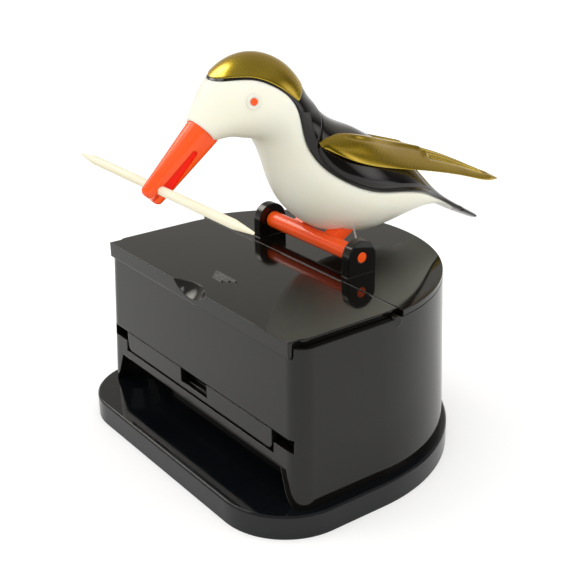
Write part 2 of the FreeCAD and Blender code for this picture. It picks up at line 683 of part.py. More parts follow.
def make_lid_hinge_pins():
    """Two short steel pins at the lid's back corners."""
    pins = both_sides(lambda side: [
        rod("x", "hinge_pin_radius", side_span(side, "hinge_pin_in", "hinge_pin_out"),
            ("hinge_y", "hinge_z"))])
    return node(group(pins), "lid_hinge_pins")


# ---------------------------------------------------------------- rear cover
def make_rear_cover():
    """The fixed cover: a spigot inside the walls, two screw posts and the ears for the perch."""
    top = d_block(("rim", "box_height"), "box_half", "box_front", "box_centre", "box_corner")
    span = ("rim - cover_lip_depth", "rim + rim_drop / 2")
    spigot = d_block(span, "spigot_half", "spigot_front", "box_centre", "spigot_corner")
    room = d_block(("rim - cover_lip_depth - 1", "rim"), "spigot_inner_half", "spigot_inner_front",
                   "box_centre", "spigot_inner_corner")
    before = box(("-plate_width", "plate_width"), ("plate_front", "cover_front"),
                 ("rim - cover_lip_depth - 1", "box_height + 1"))
    shell = cut(join([top, cut(spigot, [room])]), [before])

    def fittings(side):
        x = f"{side} * rear_post_x"
        post = rod("z", "post_radius", ("plate_thick", "rim + rim_drop / 2"), (x, "rear_post_y"))
        span = side_span(side, "ear_place", "ear_out")
        stem = box(span, ("perch_y - ear_radius", "perch_y + ear_radius"),
                   ("rim + rim_drop / 2", "perch_z"))
        crown = rod("x", "ear_radius", span, ("perch_y", "perch_z"))
        return [post, stem, crown]

    def holes(side):
        thread = rod("z", "thread_hole", ("plate_thick - 1", "screw_reach + screw_radius + 0.5"),
                     (f"{side} * rear_post_x", "rear_post_y"))
        bearing = rod("x", "stub_bore", side_span(side, "ear_place - 1", "ear_out + 1"),
                      ("perch_y", "perch_z"))
        return [thread, bearing]

    return node(cut(join([shell] + both_sides(fittings)), both_sides(holes)), "rear_cover")


# ---------------------------------------------------------------- bird: skin
def spot(back, up, x=0.0):
    """A point given as far behind and above the perch axis."""
    return Vector(x, size("perch_y") + back, size("perch_z") + up)


def ring_wire(centre, along, across, half_along, half_across):
    """A smooth oval about the centre with its two half axes along two unit directions."""
    points = []
    for number in range(RING_POINTS):
        angle = 2 * math.pi * number / RING_POINTS
        sideways = across * (half_across * math.cos(angle))
        upward = along * (half_along * math.sin(angle))
        points.append(centre + sideways + upward)
    oval = Part.BSplineCurve()
    oval.interpolate(Points=points, PeriodicFlag=True)
    return Part.Wire([oval.toShape()])


def skin(names, offset):
    """A smooth solid through the named rings, grown or shrunk by the offset."""
    wires = []
    for name in names:
        back, up, slope, tall, wide = (size(f"{name}_{part}") for part in RING_PARTS)
        lean = math.radians(slope)
        upward = Vector(0, -math.sin(lean), math.cos(lean))
        wires.append(ring_wire(spot(back, up), upward, Vector(1, 0, 0), tall + offset, wide + offset))
    return Part.makeLoft(wires, True, False)


def side_region(curve, corners):
    """A solid right across the bird: a smooth curve in side view, closed through the corners."""
    half = size("box_width")
    smooth = Part.BSplineCurve()
    smooth.interpolate([spot(back, up, -half) for back, up in curve])
    rest = [spot(back, up, -half) for back, up in (curve[-1],) + corners + (curve[0],)]
    wire = Part.Wire([smooth.toShape()] + Part.makePolygon(rest).Edges)
    return Part.Face(wire).extrude(Vector(2 * half, 0, 0))


def make_cap_region():
    """Everything above the gold cap's lower edge and in front of its back edge."""
    lift = size("hood_edge")
    curve = tuple((back, up + lift) for back, up in CAP_EDGE + (CAP_CORNER,))
    high = size("region_reach")
    return side_region(curve, (CAP_TOP, (CAP_TOP[0], high), (CAP_EDGE[0][0], high)))


def largest(shape):
    """The largest solid of a shape, without the crumbs of a cut."""
    return max(shape.Solids, key=lambda piece: piece.Volume)


def bar(root, tip, root_radius, tip_radius):
    """A tapered round bar with ball ends, in the bird's middle plane."""
    start, end = spot(*root), spot(*tip)
    run = end - start
    taper = Part.makeCone(root_radius, tip_radius, run.Length, start, run)
    return taper.fuse([Part.makeSphere(root_radius, start), Part.makeSphere(tip_radius, end)])


def make_beak_shape():
    """Two jaws from one root, with the slit between them and a seat for the pick."""
    upper = bar(BEAK_ROOT, BEAK_TIP, size("beak_root_radius"), size("beak_tip_radius"))
    lower = bar(JAW_ROOT, JAW_TIP, size("jaw_root_radius"), size("jaw_tip_radius"))
    half = size("box_width") / 2
    corners = [spot(back, up, -half) for back, up in SLIT + (SLIT[0],)]
    slit = Part.Face(Part.makePolygon(corners)).extrude(Vector(2 * half, 0, 0))
    seat_radius = size("pick_radius") + size("pick_clearance")
    seat = Part.makeCylinder(seat_radius, 2 * half, spot(size("pick_back"), size("pick_up"), -half),
                             Vector(1, 0, 0))
    return largest(upper.fuse(lower).cut([slit, seat]))


def make_struts_shape():
    """The two legs from the perch's tube up into the belly."""
    lean = FreeCAD.Rotation(Vector(1, 0, 0), size("strut_lean"))
    wide, long, thick = size("strut_width"), size("strut_length"), size("strut_thick")
    struts = []
    for side in (-1, 1):
        strut = Part.makeBox(wide, long, thick, Vector(-wide / 2, 0, -thick / 2))
        strut.Placement = FreeCAD.Placement(spot(0, 0, side * size("strut_place")), lean)
        struts.append(strut)
    return struts


def eye_reach(outer):
    """How far the head's side lies from the middle plane at the eye."""
    line = Part.makeLine(spot(size("eye_back"), size("eye_up")),
                         spot(size("eye_back"), size("eye_up"), size("box_width")))
    inside = outer.common(line)
    return inside.BoundBox.XMax


def eye_disc(side, radius, inner, outer_end):
    """A disc across the head's side, between two distances from the middle plane."""
    start = spot(size("eye_back"), size("eye_up"), side * inner)
    return Part.makeCylinder(radius, outer_end - inner, start, Vector(side, 0, 0))


def wing_shape(side, outer):
    """A thin curved blade along the back, seated on the skin."""
    thick = size("wing_thick")
    wires = []
    names = tuple(WING_RINGS)
    for name in names:
        back, near, high, far, low = (size(f"{name}_{part}") for part in WING_PARTS)
        top = spot(back, high, side * near)
        foot = spot(back, low, side * far)
        if name == names[-1]:
            break
        along = (top - foot).normalize()
        across = Vector(0, 1, 0).cross(along)
        half_thick = thick / 4 if name in (names[0], names[-2]) else thick / 2
        wires.append(ring_wire((top + foot) / 2, along, across, (top - foot).Length / 2, half_thick))
    tip = Part.Vertex((top + foot) / 2)
    blade = Part.makeLoft(wires + [tip], True, False)
    return largest(blade.cut(outer))


def make_bird():
    """The bird's shells, cap, beak, eyes, wings, and the perch with its legs."""
    names = tuple(RINGS)
    outer = skin(names, 0.0)
    shell = outer.cut(skin(HOLLOW_RINGS, -size("skin_thick")))
    high = size("region_reach")
    back_region = side_region(BACK_EDGE, ((BACK_EDGE[-1][0], high), (BACK_EDGE[0][0], high)))
    cap_room = make_cap_region()
    beak = make_beak_shape()
    struts = make_struts_shape()
    reach = eye_reach(outer)

    over = skin(names, size("cap_proud"))
    under = skin(names, size("cap_proud") - size("cap_thick"))
    cap = largest(over.cut(under).common(cap_room).cut(beak))
    dark = largest(shell.common(back_region).cut([cap, beak]))
    pale = shell.cut([back_region, beak] + struts)

    eyes = {}
    for side in (-1, 1):
        ring_end = reach + size("eye_ring_proud")
        ring_disc = eye_disc(side, size("eye_ring_radius"), reach - size("eye_seat"), ring_end)
        plug = eye_disc(side, size("eye_radius"), reach - size("eye_depth"), reach + size("eye_proud"))
        pale = pale.fuse(ring_disc.cut([skin(HOLLOW_RINGS, -size("skin_thick")), cap, dark])).cut(plug)
        eyes[side] = plug.cut([cap, dark])

    node(form(largest(pale)), "bird_body_shell")
    node(form(dark), "bird_back_shell")
    node(form(cap), "head_cap")
    node(form(beak), "beak")
    node(form(eyes[1]), "eye_left")
    node(form(eyes[-1]), "eye_right")
    node(form(wing_shape(1, outer)), "wing_left")
    node(form(wing_shape(-1, outer)), "wing_right")

    tube = rod("x", "perch_radius", ("tube_left", "tube_right"), ("perch_y", "perch_z"))
    stubs = rod("x", "stub_radius", ("-ear_out", "ear_out"), ("perch_y", "perch_z"))
    node(join([tube, stubs] + [form(strut) for strut in struts]), "perch")


def make_toothpick():
    """A round pick with pointed ends, across the beak."""
    half = size("pick_length") / 2
    point = size("pick_point")
    radius, tip = size("pick_radius"), size("pick_tip_radius")
    back, up = size("pick_back"), size("pick_up")
    straight = Part.makeCylinder(radius, 2 * (half - point), spot(back, up, point - half), Vector(1, 0, 0))
    ends = [
        Part.makeCone(radius, tip, point, spot(back, up, side * (half - point)), Vector(side, 0, 0))
        for side in (-1, 1)
    ]
    return node(form(straight.fuse(ends).removeSplitter()), "toothpick")


def make_return_spring():
    """A coil on the perch's left stub: one leg holds the bird's belly, one the cover."""
    wire = size("coil_wire")
    room = size("perch_spring_space")
    start = spot(0, 0, size("tube_right") + 1.5 * wire)
    shape, (first, last) = coil(start, room - 3 * wire, size("coil_radius"), wire, size("coil_turns"))
    lift = Vector(first.x, first.y, first.z + size("coil_radius"))
    hook = spot(SPRING_HOOK[0], SPRING_HOOK[1], first.x - SPRING_HOOK[2])
    foot = Vector(last.x, last.y, size("box_height") + 1.1 * wire)
    pieces = wire_run([first, lift, hook], wire) + wire_run([last, foot], wire)
    return node(form(shape.fuse(pieces)), "return_spring")


# ---------------------------------------------------------------- build, check and write
def write_nodes():
    """Check every object, then write each sub-part to its own file."""
    doc.recompute()
    for item in doc.Objects:
        if "Invalid" in item.State or "Error" in item.State:
            raise RuntimeError(f"{item.Label} did not compute: {item.State}")
    for item in NODES:
        if item.Shape.isNull() or not item.Shape.isValid():
            raise RuntimeError(f"{item.Label} has no valid shape")
    os.makedirs("parts", exist_ok=True)
    for item in NODES:
        item.Shape.exportStep(f"parts/{item.Label}.step")
        print(f"{item.Label}: {len(item.Shape.Solids)} solid(s), {item.Shape.Volume:.1f} mm3")


make_base_plate()
make_base_screws()
make_body_shell()
make_hopper_tray()
make_pickup_gate()
make_gate_pin()
make_gate_spring()
make_front_lid()
make_lid_hinge_pins()
make_rear_cover()
make_bird()
make_toothpick()
make_return_spring()
write_nodes()
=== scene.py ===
"""Looks of the bird toothpick dispenser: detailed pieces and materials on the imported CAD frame."""

import json
import math

import bmesh
import bpy
import numpy as np
from mathutils import Matrix, Vector


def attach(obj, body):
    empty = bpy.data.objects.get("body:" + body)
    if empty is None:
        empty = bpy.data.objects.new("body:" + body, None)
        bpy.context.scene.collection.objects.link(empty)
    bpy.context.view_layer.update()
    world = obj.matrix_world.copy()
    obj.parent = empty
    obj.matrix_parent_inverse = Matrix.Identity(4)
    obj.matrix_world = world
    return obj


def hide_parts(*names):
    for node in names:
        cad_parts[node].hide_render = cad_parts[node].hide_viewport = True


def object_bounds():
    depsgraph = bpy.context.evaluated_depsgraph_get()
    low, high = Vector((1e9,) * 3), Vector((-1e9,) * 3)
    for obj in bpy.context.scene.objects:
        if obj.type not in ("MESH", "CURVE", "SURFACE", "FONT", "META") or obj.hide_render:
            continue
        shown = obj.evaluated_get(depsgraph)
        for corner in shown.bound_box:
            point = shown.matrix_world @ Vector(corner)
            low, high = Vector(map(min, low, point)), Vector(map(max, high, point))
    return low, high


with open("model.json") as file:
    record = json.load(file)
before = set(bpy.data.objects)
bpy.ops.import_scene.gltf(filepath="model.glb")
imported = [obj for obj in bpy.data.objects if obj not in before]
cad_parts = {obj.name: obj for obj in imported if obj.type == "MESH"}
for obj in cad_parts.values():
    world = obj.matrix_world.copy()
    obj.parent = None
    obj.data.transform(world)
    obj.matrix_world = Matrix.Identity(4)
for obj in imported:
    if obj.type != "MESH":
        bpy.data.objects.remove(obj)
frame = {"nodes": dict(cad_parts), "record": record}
cad_low, cad_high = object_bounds()
nodes = frame["nodes"]
MM = 0.001

# ---------------------------------------------------------------- the bird's measures, in mm
# Everything of the bird is given as far behind and above the perch's axis.
PERCH = np.array((0.0, 7.0, 44.3))
# each section's top point and bottom point in side view, then its half width
SECTIONS = np.array((
    (-30.2, 31.0, -25.6, 26.0, 3.3),
    (-27.7, 34.9, -22.0, 26.3, 5.3),
    (-23.7, 39.4, -18.9, 25.7, 7.3),
    (-15.8, 42.3, -16.4, 25.1, 8.9),
    (-8.6, 39.7, -14.3, 24.0, 9.3),
    (-3.6, 33.2, -12.6, 21.5, 9.0),
    (2.2, 27.4, -10.5, 16.5, 10.1),
    (8.4, 24.3, -6.8, 8.4, 12.0),
    (12.8, 22.0, 1.9, 1.4, 12.6),
    (17.0, 19.5, 10.2, -0.4, 11.9),
    (24.0, 14.6, 19.5, 0.6, 10.3),
    (29.8, 9.2, 26.9, 1.4, 7.8),
    (34.6, 4.6, 33.2, 1.2, 6.0),
    (42.5, -0.7, 41.5, -2.4, 5.3),
    (49.3, -4.7, 48.7, -5.9, 3.9),
))
# the tail's end: over the last TAIL_CORNER mm its width falls to the share TAIL_NARROW, and over the
# last TAIL_CLOSE mm to TAIL_SHUT of that, while its height falls to TAIL_FLAT
TAIL_CLOSE, TAIL_CORNER = 0.7, 2.2
TAIL_NARROW, TAIL_SHUT, TAIL_FLAT = 0.35, 0.1, 0.03
# the line between white and black in side view
BACK_EDGE = np.array((
    (-34, 37.4), (-28.6, 37.6), (-26.8, 37.8), (-25.2, 38.1), (-23.6, 38.4), (-21.4, 38.6), (-18.9, 38.4),
    (-16.2, 37.3), (-13.7, 35.7), (-11.6, 33.6), (-10, 30.6), (-8.2, 24.3), (-4.6, 18.6), (0.2, 15),
    (7.2, 11.8), (16.2, 9.7), (24, 7.5), (31, 4.2), (40.0, -1.3), (42.8, -4.0), (45.0, -8), (54, -24),
), float)
# the step between the black collar and the back plate behind it
COLLAR = np.array((
    (-4.8, 36), (-3.5, 32), (-2.7, 29.2), (-3.7, 27.2), (-5.1, 25.3), (-5.6, 23.0), (-4.5, 20.2),
    (-1.8, 17.3), (2, 15.0), (8, 12.5), (17, 10.5), (25, 8.2), (32, 4.8), (42, -1.1), (52, -6.5),
), float)
# the step's height and slope, and the crease's depth, middle and width, by the distance from that line
COLLAR_RISE, COLLAR_SLOPE = 0.34, (-0.5, 0.0)
CREASE_DEPTH, CREASE_AT, CREASE_WIDTH = 0.16, 0.15, 0.3
# the collar fades out over these places towards the tail and the head, and this near the black's edge
COLLAR_TAIL, COLLAR_HEAD, COLLAR_EDGE = (24.0, 32.0), (30.5, 33.5), 0.25
# the shells' walls, how much of them fits in the thin tail, and how the black one starts on the forehead
BODY_WALL, CAP_WALL = 1.2, 0.7
ROOM_AT, ROOM, LEAST_WALL = (24.0, 30.0, 34.0, 42.0, 50.0), (3.0, 1.6, 0.55, 0.3, 0.12), 0.02
HOOD_START, HOOD_START_WALL = (-28.5, -24.0), 0.04
# how far the white and the black dip at their common line, and over what width; the white's dip starts
# from nothing and is full where the line is this many radians from the top
WHITE_DIP, WHITE_DIP_WIDTH, WHITE_DIP_ANGLE = 0.22, 0.45, 0.5
BLACK_DIP, BLACK_DIP_WIDTH = 0.10, 0.12
# how far the cap stands off, the width of its round edge, and its place over the white's line
CAP_RISE, CAP_ROUND, CAP_LIFT = 0.24, 4 / 9, 0.32
CAP_EDGE = np.vstack((BACK_EDGE[:9], (-10.3, 33.0))) + (0, CAP_LIFT)
CAP_BACK = ((-6.5, 30.5), (-3.0, 27.5))
# the cap is cut off behind the slanting line from its edge's last point to this one
CAP_TOP = (-3.2, 39.1)
# points closer than this are welded, on the body and on small pieces
WELD, WELD_SMALL = 0.004, 0.002
# rows of a sheet next to its edge: the distances from the edge
WHITE_NEAR = (0, 0.06, 0.13, 0.22, 0.35, 0.6)
HOOD_NEAR = (0, 0.06, 0.13, 0.22, 0.35, 0.5, 0.7, 0.9, 1.05, 1.2, 1.35, 1.5, 1.7, 2.0, 2.3)
CAP_NEAR = (0, 0.04, 0.09, 0.15, 0.22, 0.32, 0.5)
# the eye's middle, the radii of its cup and pupil, their heights over the skin and their depths in it
EYE = (-20.1, 34.4)
EYE_CUP, EYE_PUPIL = 1.6, 0.74
CUP_RISE, CUP_SINK, CUP_DEPTH = 0.12, 0.02, 1.2
PUPIL_RISE, PUPIL_DEPTH = 0.22, 1.0
# the cup's bead stays BEAD_GAP from the pupil; deep down the cup is CUP_FLARE wider, and its hole is
# HOLE_GAP wider than the pupil
BEAD_GAP, CUP_FLARE, HOLE_GAP = 0.08, 0.02, 0.05
# the beak's four corner balls: back, up, radius in side view, half width
BEAK_BALLS = (
    (-28.1, 28.75, 2.65, 2.9), (-26.15, 27.0, 1.85, 2.5), (-40.4, 18.6, 1.25, 1.25),
    (-38.35, 16.6, 1.2, 1.3),
)
# the slit from the side, the notch between the two tips, and the pick's seat
SLIT = ((-31.1, 25.45), (-30.1, 25.05), (-30.15, 24.4), (-35.8, 17.95), (-37.2, 17.3), (-38.9, 18.3))
NOTCH = ((-38.4, 18.4), (-40.95, 16.75), (-40.35, 16.05), (-38.2, 17.6))
PICK, PICK_SEAT = (-38.1, 18.4), 0.98
CUT_HALF = 8
# the web inside the slit, a plate that carries the slit's painted shade, and its half width at each corner
WEB = ((-31.3, 25.9), (-29.7, 24.9), (-35.5, 17.9), (-36.9, 17.7), (-36.95, 18.6), (-37.5, 19.5))
WEB_HALF = (1.95, 1.95, 1.15, 0.95, 0.95, 0.9)
# each wing section: back, then across and up of its upper and lower edge
WING_RINGS = np.array((
    (-5.4, 9.2, 24.2, 10.2, 23.4),
    (-1.6, 8.1, 24.6, 11.9, 21.2),
    (7.7, 6.8, 22.8, 12.1, 17.3),
    (18.6, 3.4, 19.1, 11.1, 14.3),
    (30.0, 2.5, 15.4, 9.5, 11.1),
    (41.7, 2.6, 10.3, 7.4, 7.2),
    (50.0, 3.4, 6.1, 5.9, 4.6),
    (53.3, 4.7, 4.3, 4.9, 4.1),
))
# From here, places across the blade are shares of the way down it, and pairs are where a change starts
# and ends. Half the thickness; how square the upper and how sharp the lower part is; its round front.
WING_HALF = 0.8
SQUARE, SHARP, SHARP_FROM = 0.6, 1.5, (0.45, 0.75)
FRONT_ROUND = (-0.2, 1.0)
# blades narrower than these get thinner, and their relief lower
FULL_THICK, FULL_RELIEF = 3.0, 4.0
# the outer face's swelling in front: its share of the thickness, its place and length, and its end
SWELL, SWELL_BACK, SWELL_LENGTH, SWELL_END = 0.75, 7.0, 8.0, (0.3, 0.8)
# the rib along the front part and the valley under it: height, place, width
RIB, VALLEY, RIB_START = (0.30, 0.13, 0.055), (0.20, 0.26, 0.05), (1, 7)
# the step down to the back part, and the grooves in that
STEP, STEP_DEPTH, STEP_END = (27.6, 28.6), 0.30, (0.5, 0.7)
GROOVES, GROOVE_DEPTH, GROOVE_WIDTH, GROOVE_END = (0.10, 0.30, 0.48), 0.42, 0.04, (46, 50)
# the boss at the step: height, then place and length backwards, then place and width across
BOSS_RISE, BOSS_BACK, BOSS_LENGTH, BOSS_AT, BOSS_WIDTH = 0.75, 28.0, 0.8, 0.34, 0.13
# the small raised dots: back and across
DOTS = ((1.5, 0.28), (26.4, 0.50), (45.5, 0.45))
DOT_RISE, DOT_LENGTH, DOT_WIDTH = 0.20, 0.35, 0.045


# ---------------------------------------------------------------- curves
def natural_spline(knots, values, at):
    """Smooth curve through the values at the knots, as a natural cubic spline."""
    knots, values = np.asarray(knots, float), np.asarray(values, float)
    n = len(knots)
    step = np.diff(knots)
    left = np.zeros((n, n))
    right = np.zeros((n,) + values.shape[1:])
    left[0, 0] = left[-1, -1] = 1
    for i in range(1, n - 1):
        left[i, i - 1:i + 2] = step[i - 1], 2 * (step[i - 1] + step[i]), step[i]
        right[i] = 3 * ((values[i + 1] - values[i]) / step[i] - (values[i] - values[i - 1]) / step[i - 1])
    c = np.linalg.solve(left, right)
    at = np.asarray(at, float)
    k = np.clip(np.searchsorted(knots, at, side="right") - 1, 0, n - 2)
    h = step[k]
    t = at - knots[k]
    if values.ndim > 1:
        h, t = h[:, None], t[:, None]
    b = (values[k + 1] - values[k]) / h - h * (2 * c[k] + c[k + 1]) / 3
    d = (c[k + 1] - c[k]) / (3 * h)
    return values[k] + b * t + c[k] * t ** 2 + d * t ** 3


def chord(points):
    """Distance along the points."""
    return np.concatenate(([0], np.cumsum(np.linalg.norm(np.diff(points, axis=0), axis=1))))


def smooth_line(points, count=600):
    """A smooth line through side-view points."""
    along = chord(points)
    return natural_spline(along, points, np.linspace(0, along[-1], count))


def smoothstep(low, high, x):
    """0 up to low, 1 from high on, smooth between them."""
    t = np.clip((x - low) / (high - low), 0, 1)
    return t * t * (3 - 2 * t)


def hill(x, middle, width):
    """A bell of height 1."""
    return np.exp(-((x - middle) / width) ** 2)


def spread(first, last, count, crowd):
    """Places from first to last, crowded towards first."""
    t = np.linspace(0, 1, count)
    return first + (last - first) * t ** crowd


def bands(length, near, count):
    """Distances from an edge up to length: the near ones, over less than half of it, then evenly."""
    least = 2.2 * near[-1]
    near = np.asarray(near) * min(1.0, length / least)
    return np.concatenate((near, np.linspace(near[-1], length, count + 1)[1:]))


def side_spot(back, up, x=0.0):
    """A place given in side view, as a point in mm."""
    return np.array((x, PERCH[1] + back, PERCH[2] + up))


# ---------------------------------------------------------------- the body's skin
RING_AT = chord((SECTIONS[:, :2] + SECTIONS[:, 2:4]) / 2)
BODY_END = RING_AT[-1]


def ring(at):
    """Back, up, slope in radians, half height and half width at places along the body."""
    at = np.atleast_1d(at)
    t = natural_spline(RING_AT, SECTIONS, at)
    span = (t[:, :2] - t[:, 2:4]) / 2
    tall = np.linalg.norm(span, axis=1)
    left = np.clip((BODY_END - at) / np.array(((TAIL_CLOSE,), (TAIL_CORNER,))), 0, 1)
    close, corner = np.sqrt(1 - (1 - left) ** 2)
    wide = t[:, 4] * (TAIL_NARROW + (1 - TAIL_NARROW) * corner) * (TAIL_SHUT + (1 - TAIL_SHUT) * close)
    middle = (t[:, :2] + t[:, 2:4]) / 2
    slope = np.arctan2(-span[:, 0], span[:, 1])
    return np.column_stack((middle, slope, tall * np.maximum(close, TAIL_FLAT), wide))


def skin_point(r, angle):
    """Points of the skin: ring rows r (n,5) at angles (n,m) from the top, as (n,m,3) in mm."""
    back, up, slope, tall, wide = (r[:, i:i + 1] for i in range(5))
    rise = tall * np.cos(angle)
    x = wide * np.sin(angle)
    y = PERCH[1] + back - np.sin(slope) * rise
    z = PERCH[2] + up + np.cos(slope) * rise
    return np.stack((x, y, z), axis=-1)


def reach(line, at):
    """The angle from the top down to where each ring crosses the line; 0 where it stays below it."""
    r = ring(at)
    quarter_degrees = 4 * 180 + 1
    angles = np.linspace(0, math.pi, quarter_degrees)
    p = skin_point(r, np.tile(angles, (len(r), 1)))
    height = p[..., 2] - PERCH[2] - np.interp(p[..., 1] - PERCH[1], line[:, 0], line[:, 1])
    found = np.zeros(len(r))
    for i, row in enumerate(height):
        if row[0] <= 0:
            continue
        below = np.nonzero(row <= 0)[0]
        if len(below) == 0:
            found[i] = math.pi
            continue
        k = below[0]
        share = row[k - 1] / (row[k - 1] - row[k])
        found[i] = angles[k - 1] + share * (angles[k] - angles[k - 1])
    return found


def side_gap(line, p):
    """Signed distance in side view from a line to points; positive on the line's upper side."""
    q = p[..., 1:] - PERCH[1:]
    best = np.full(q.shape[:-1], 1e9)
    sign = np.ones(q.shape[:-1])
    for start, step in zip(line[:-1], np.diff(line, axis=0)):
        t = np.clip(((q - start) @ step) / (step @ step), 0, 1)
        off = q - start - t[..., None] * step
        gap = np.linalg.norm(off, axis=-1)
        turn = step[0] * off[..., 1] - step[1] * off[..., 0]
        closer = gap < best
        best = np.where(closer, gap, best)
        sign = np.where(closer, np.sign(turn), sign)
    return best * sign


def outward_normals(p, r):
    """Normals of a grid of points that runs along the body and round it, away from the rings' middles."""
    n = np.cross(np.gradient(p, axis=1), np.gradient(p, axis=0))
    n = n / np.maximum(np.linalg.norm(n, axis=-1, keepdims=True), 1e-9)
    middle = np.column_stack((np.zeros(len(r)), PERCH[1] + r[:, 0], PERCH[2] + r[:, 1]))[:, None]
    return n * np.sign(np.sum(n * (p - middle), axis=-1, keepdims=True))


def skin_sheet(line, at, goal, height, near, count, samples):
    """A sheet of the skin from the line over the goal (0 is the top, pi the bottom) to the other side.
    height(distance from the edge, point, the edge's angle) is how far it stands off the skin. Each side
    has the rows near the edge and count more, placed along samples points of the skin."""
    r = ring(at)
    edge = reach(line, at)
    angles, distance = [], []
    for i in range(len(at)):
        way = np.linspace(edge[i], goal, samples)
        run = chord(skin_point(r[i:i + 1], way[None])[0])
        d = bands(max(run[-1], 1e-4), near, count)
        half = np.interp(d, run, way)
        angles.append(np.concatenate((half, 2 * goal - half[-2::-1])))
        distance.append(np.concatenate((d, d[-2::-1])))
    p = skin_point(r, np.array(angles))
    stand = height(np.array(distance), p, edge[:, None])
    return p + outward_normals(p, r) * stand[..., None]


# ---------------------------------------------------------------- meshes
def smooth(mesh, state=True):
    """Shades every face smooth, or every one flat."""
    mesh.polygons.foreach_set("use_smooth", [state] * len(mesh.polygons))


def add_piece(name, mesh):
    """A piece of the bird with this mesh."""
    piece = bpy.data.objects.new(name, mesh)
    bpy.context.scene.collection.objects.link(piece)
    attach(piece, "bird")
    return piece


def new_piece(name, verts, faces, merge=0.0):
    """A smooth-shaded piece from mm points, welded within merge, with its faces turned outwards."""
    mesh = bpy.data.meshes.new(name)
    mesh.from_pydata([tuple(v) for v in np.asarray(verts) * MM], [], faces)
    bm = bmesh.new()
    bm.from_mesh(mesh)
    if merge:
        bmesh.ops.remove_doubles(bm, verts=bm.verts, dist=merge * MM)
    bmesh.ops.recalc_face_normals(bm, faces=bm.faces)
    bm.to_mesh(mesh)
    bm.free()
    mesh.validate()
    smooth(mesh)
    return add_piece(name, mesh)


def grid_faces(rows, columns, closed=False):
    """Quads over a grid of points."""
    faces = []
    for i in range(rows - 1):
        for j in range(columns if closed else columns - 1):
            a, b = i * columns + j, i * columns + (j + 1) % columns
            faces.append((a, b, b + columns, a + columns))
    return faces


def grid_piece(name, p, merge, closed=False):
    """A piece from a grid of mm points."""
    return new_piece(name, p.reshape(-1, 3), grid_faces(*p.shape[:2], closed=closed), merge)


def far_back(piece):
    """How far behind the perch each vertex lies, in mm."""
    return np.array([v.co.y for v in piece.data.vertices]) / MM - PERCH[1]


def shell(piece, thickness, fade=1.0):
    """Gives a sheet its wall on the inside, less where the tail is thin."""
    room = np.interp(far_back(piece), ROOM_AT, ROOM)
    group = piece.vertex_groups.new(name="wall")
    for number, amount in enumerate(np.clip(room / thickness, LEAST_WALL, 1.0) * fade):
        group.add([number], float(amount), "REPLACE")
    wall = piece.modifiers.new("wall", "SOLIDIFY")
    wall.thickness = thickness * MM
    wall.offset = -1
    wall.use_rim = True
    wall.vertex_group = "wall"


def prism(name, outline, half):
    """A side-view outline as a plate across the middle plane, with one half width or one per corner."""
    n = len(outline)
    halves = np.broadcast_to(half, n)
    near = [side_spot(back, up, wide) for (back, up), wide in zip(outline, halves)]
    far = [side_spot(back, up, -wide) for (back, up), wide in zip(outline, halves)]
    faces = [tuple(range(n)), tuple(range(2 * n - 1, n - 1, -1))]
    faces += [(i, n + i, n + (i + 1) % n, (i + 1) % n) for i in range(n)]
    return new_piece(name, near + far, faces)


def carve(piece, cutters):
    """Cuts the cutters out of the piece for good and removes them."""
    for cutter in cutters:
        hole = piece.modifiers.new("carve", "BOOLEAN")
        hole.operation = "DIFFERENCE"
        hole.solver = "EXACT"
        hole.object = cutter
    bpy.context.view_layer.update()
    done = bpy.data.meshes.new_from_object(piece.evaluated_get(bpy.context.evaluated_depsgraph_get()))
    piece.modifiers.clear()
    old, piece.data = piece.data, done
    bpy.data.meshes.remove(old)
    for cutter in cutters:
        bpy.data.objects.remove(cutter, do_unlink=True)


def balls_hull(name, balls, steps=28):
    """The tight skin round some balls in the middle plane, each with its own half width."""
    bm = bmesh.new()
    for back, up, radius, half in balls:
        centre = side_spot(back, up)
        for i in range(steps + 1):
            tilt = math.pi * i / steps
            flat = radius * math.sin(tilt)
            for j in range(2 * steps):
                turn = math.pi * j / steps
                way = (half * math.cos(tilt), flat * math.cos(turn), flat * math.sin(turn))
                bm.verts.new((centre + way) * MM)
    bmesh.ops.remove_doubles(bm, verts=bm.verts, dist=0.001 * MM)
    bmesh.ops.convex_hull(bm, input=bm.verts)
    loose = [vert for vert in bm.verts if not vert.link_faces]
    bmesh.ops.delete(bm, geom=loose, context="VERTS")
    bmesh.ops.recalc_face_normals(bm, faces=bm.faces)
    mesh = bpy.data.meshes.new(name)
    bm.to_mesh(mesh)
    bm.free()
    return add_piece(name, mesh)


# ---------------------------------------------------------------- shader nodes
def link(tree, a, b):
    tree.links.new(a, b)


def calc(tree, operation, *values):
    """A math node's result; each value is a socket or a number."""
    n = tree.nodes.new("ShaderNodeMath")
    n.operation = operation
    for socket, value in zip(n.inputs, values):
        if isinstance(value, float):
            socket.default_value = value
        else:
            link(tree, value, socket)
    return n.outputs[0]


def noise(tree, place, scale, detail=4.0, rough=0.55, stretch=None):
    """Noise of scale per metre at a place, stretched by a share along each axis."""
    if stretch:
        mapping = tree.nodes.new("ShaderNodeMapping")
        mapping.inputs["Scale"].default_value = stretch
        link(tree, place, mapping.inputs["Vector"])
        place = mapping.outputs["Vector"]
    n = tree.nodes.new("ShaderNodeTexNoise")
    n.inputs["Scale"].default_value = scale
    n.inputs["Detail"].default_value = detail
    n.inputs["Roughness"].default_value = rough
    link(tree, place, n.inputs["Vector"])
    return n.outputs["Fac"]


def ramp(tree, value, low, high, out_low, out_high):
    """The value taken from one range to another and kept inside it."""
    m = tree.nodes.new("ShaderNodeMapRange")
    for socket, number in (("From Min", low), ("From Max", high), ("To Min", out_low), ("To Max", out_high)):
        m.inputs[socket].default_value = number
    link(tree, value, m.inputs["Value"])
    return m.outputs["Result"]


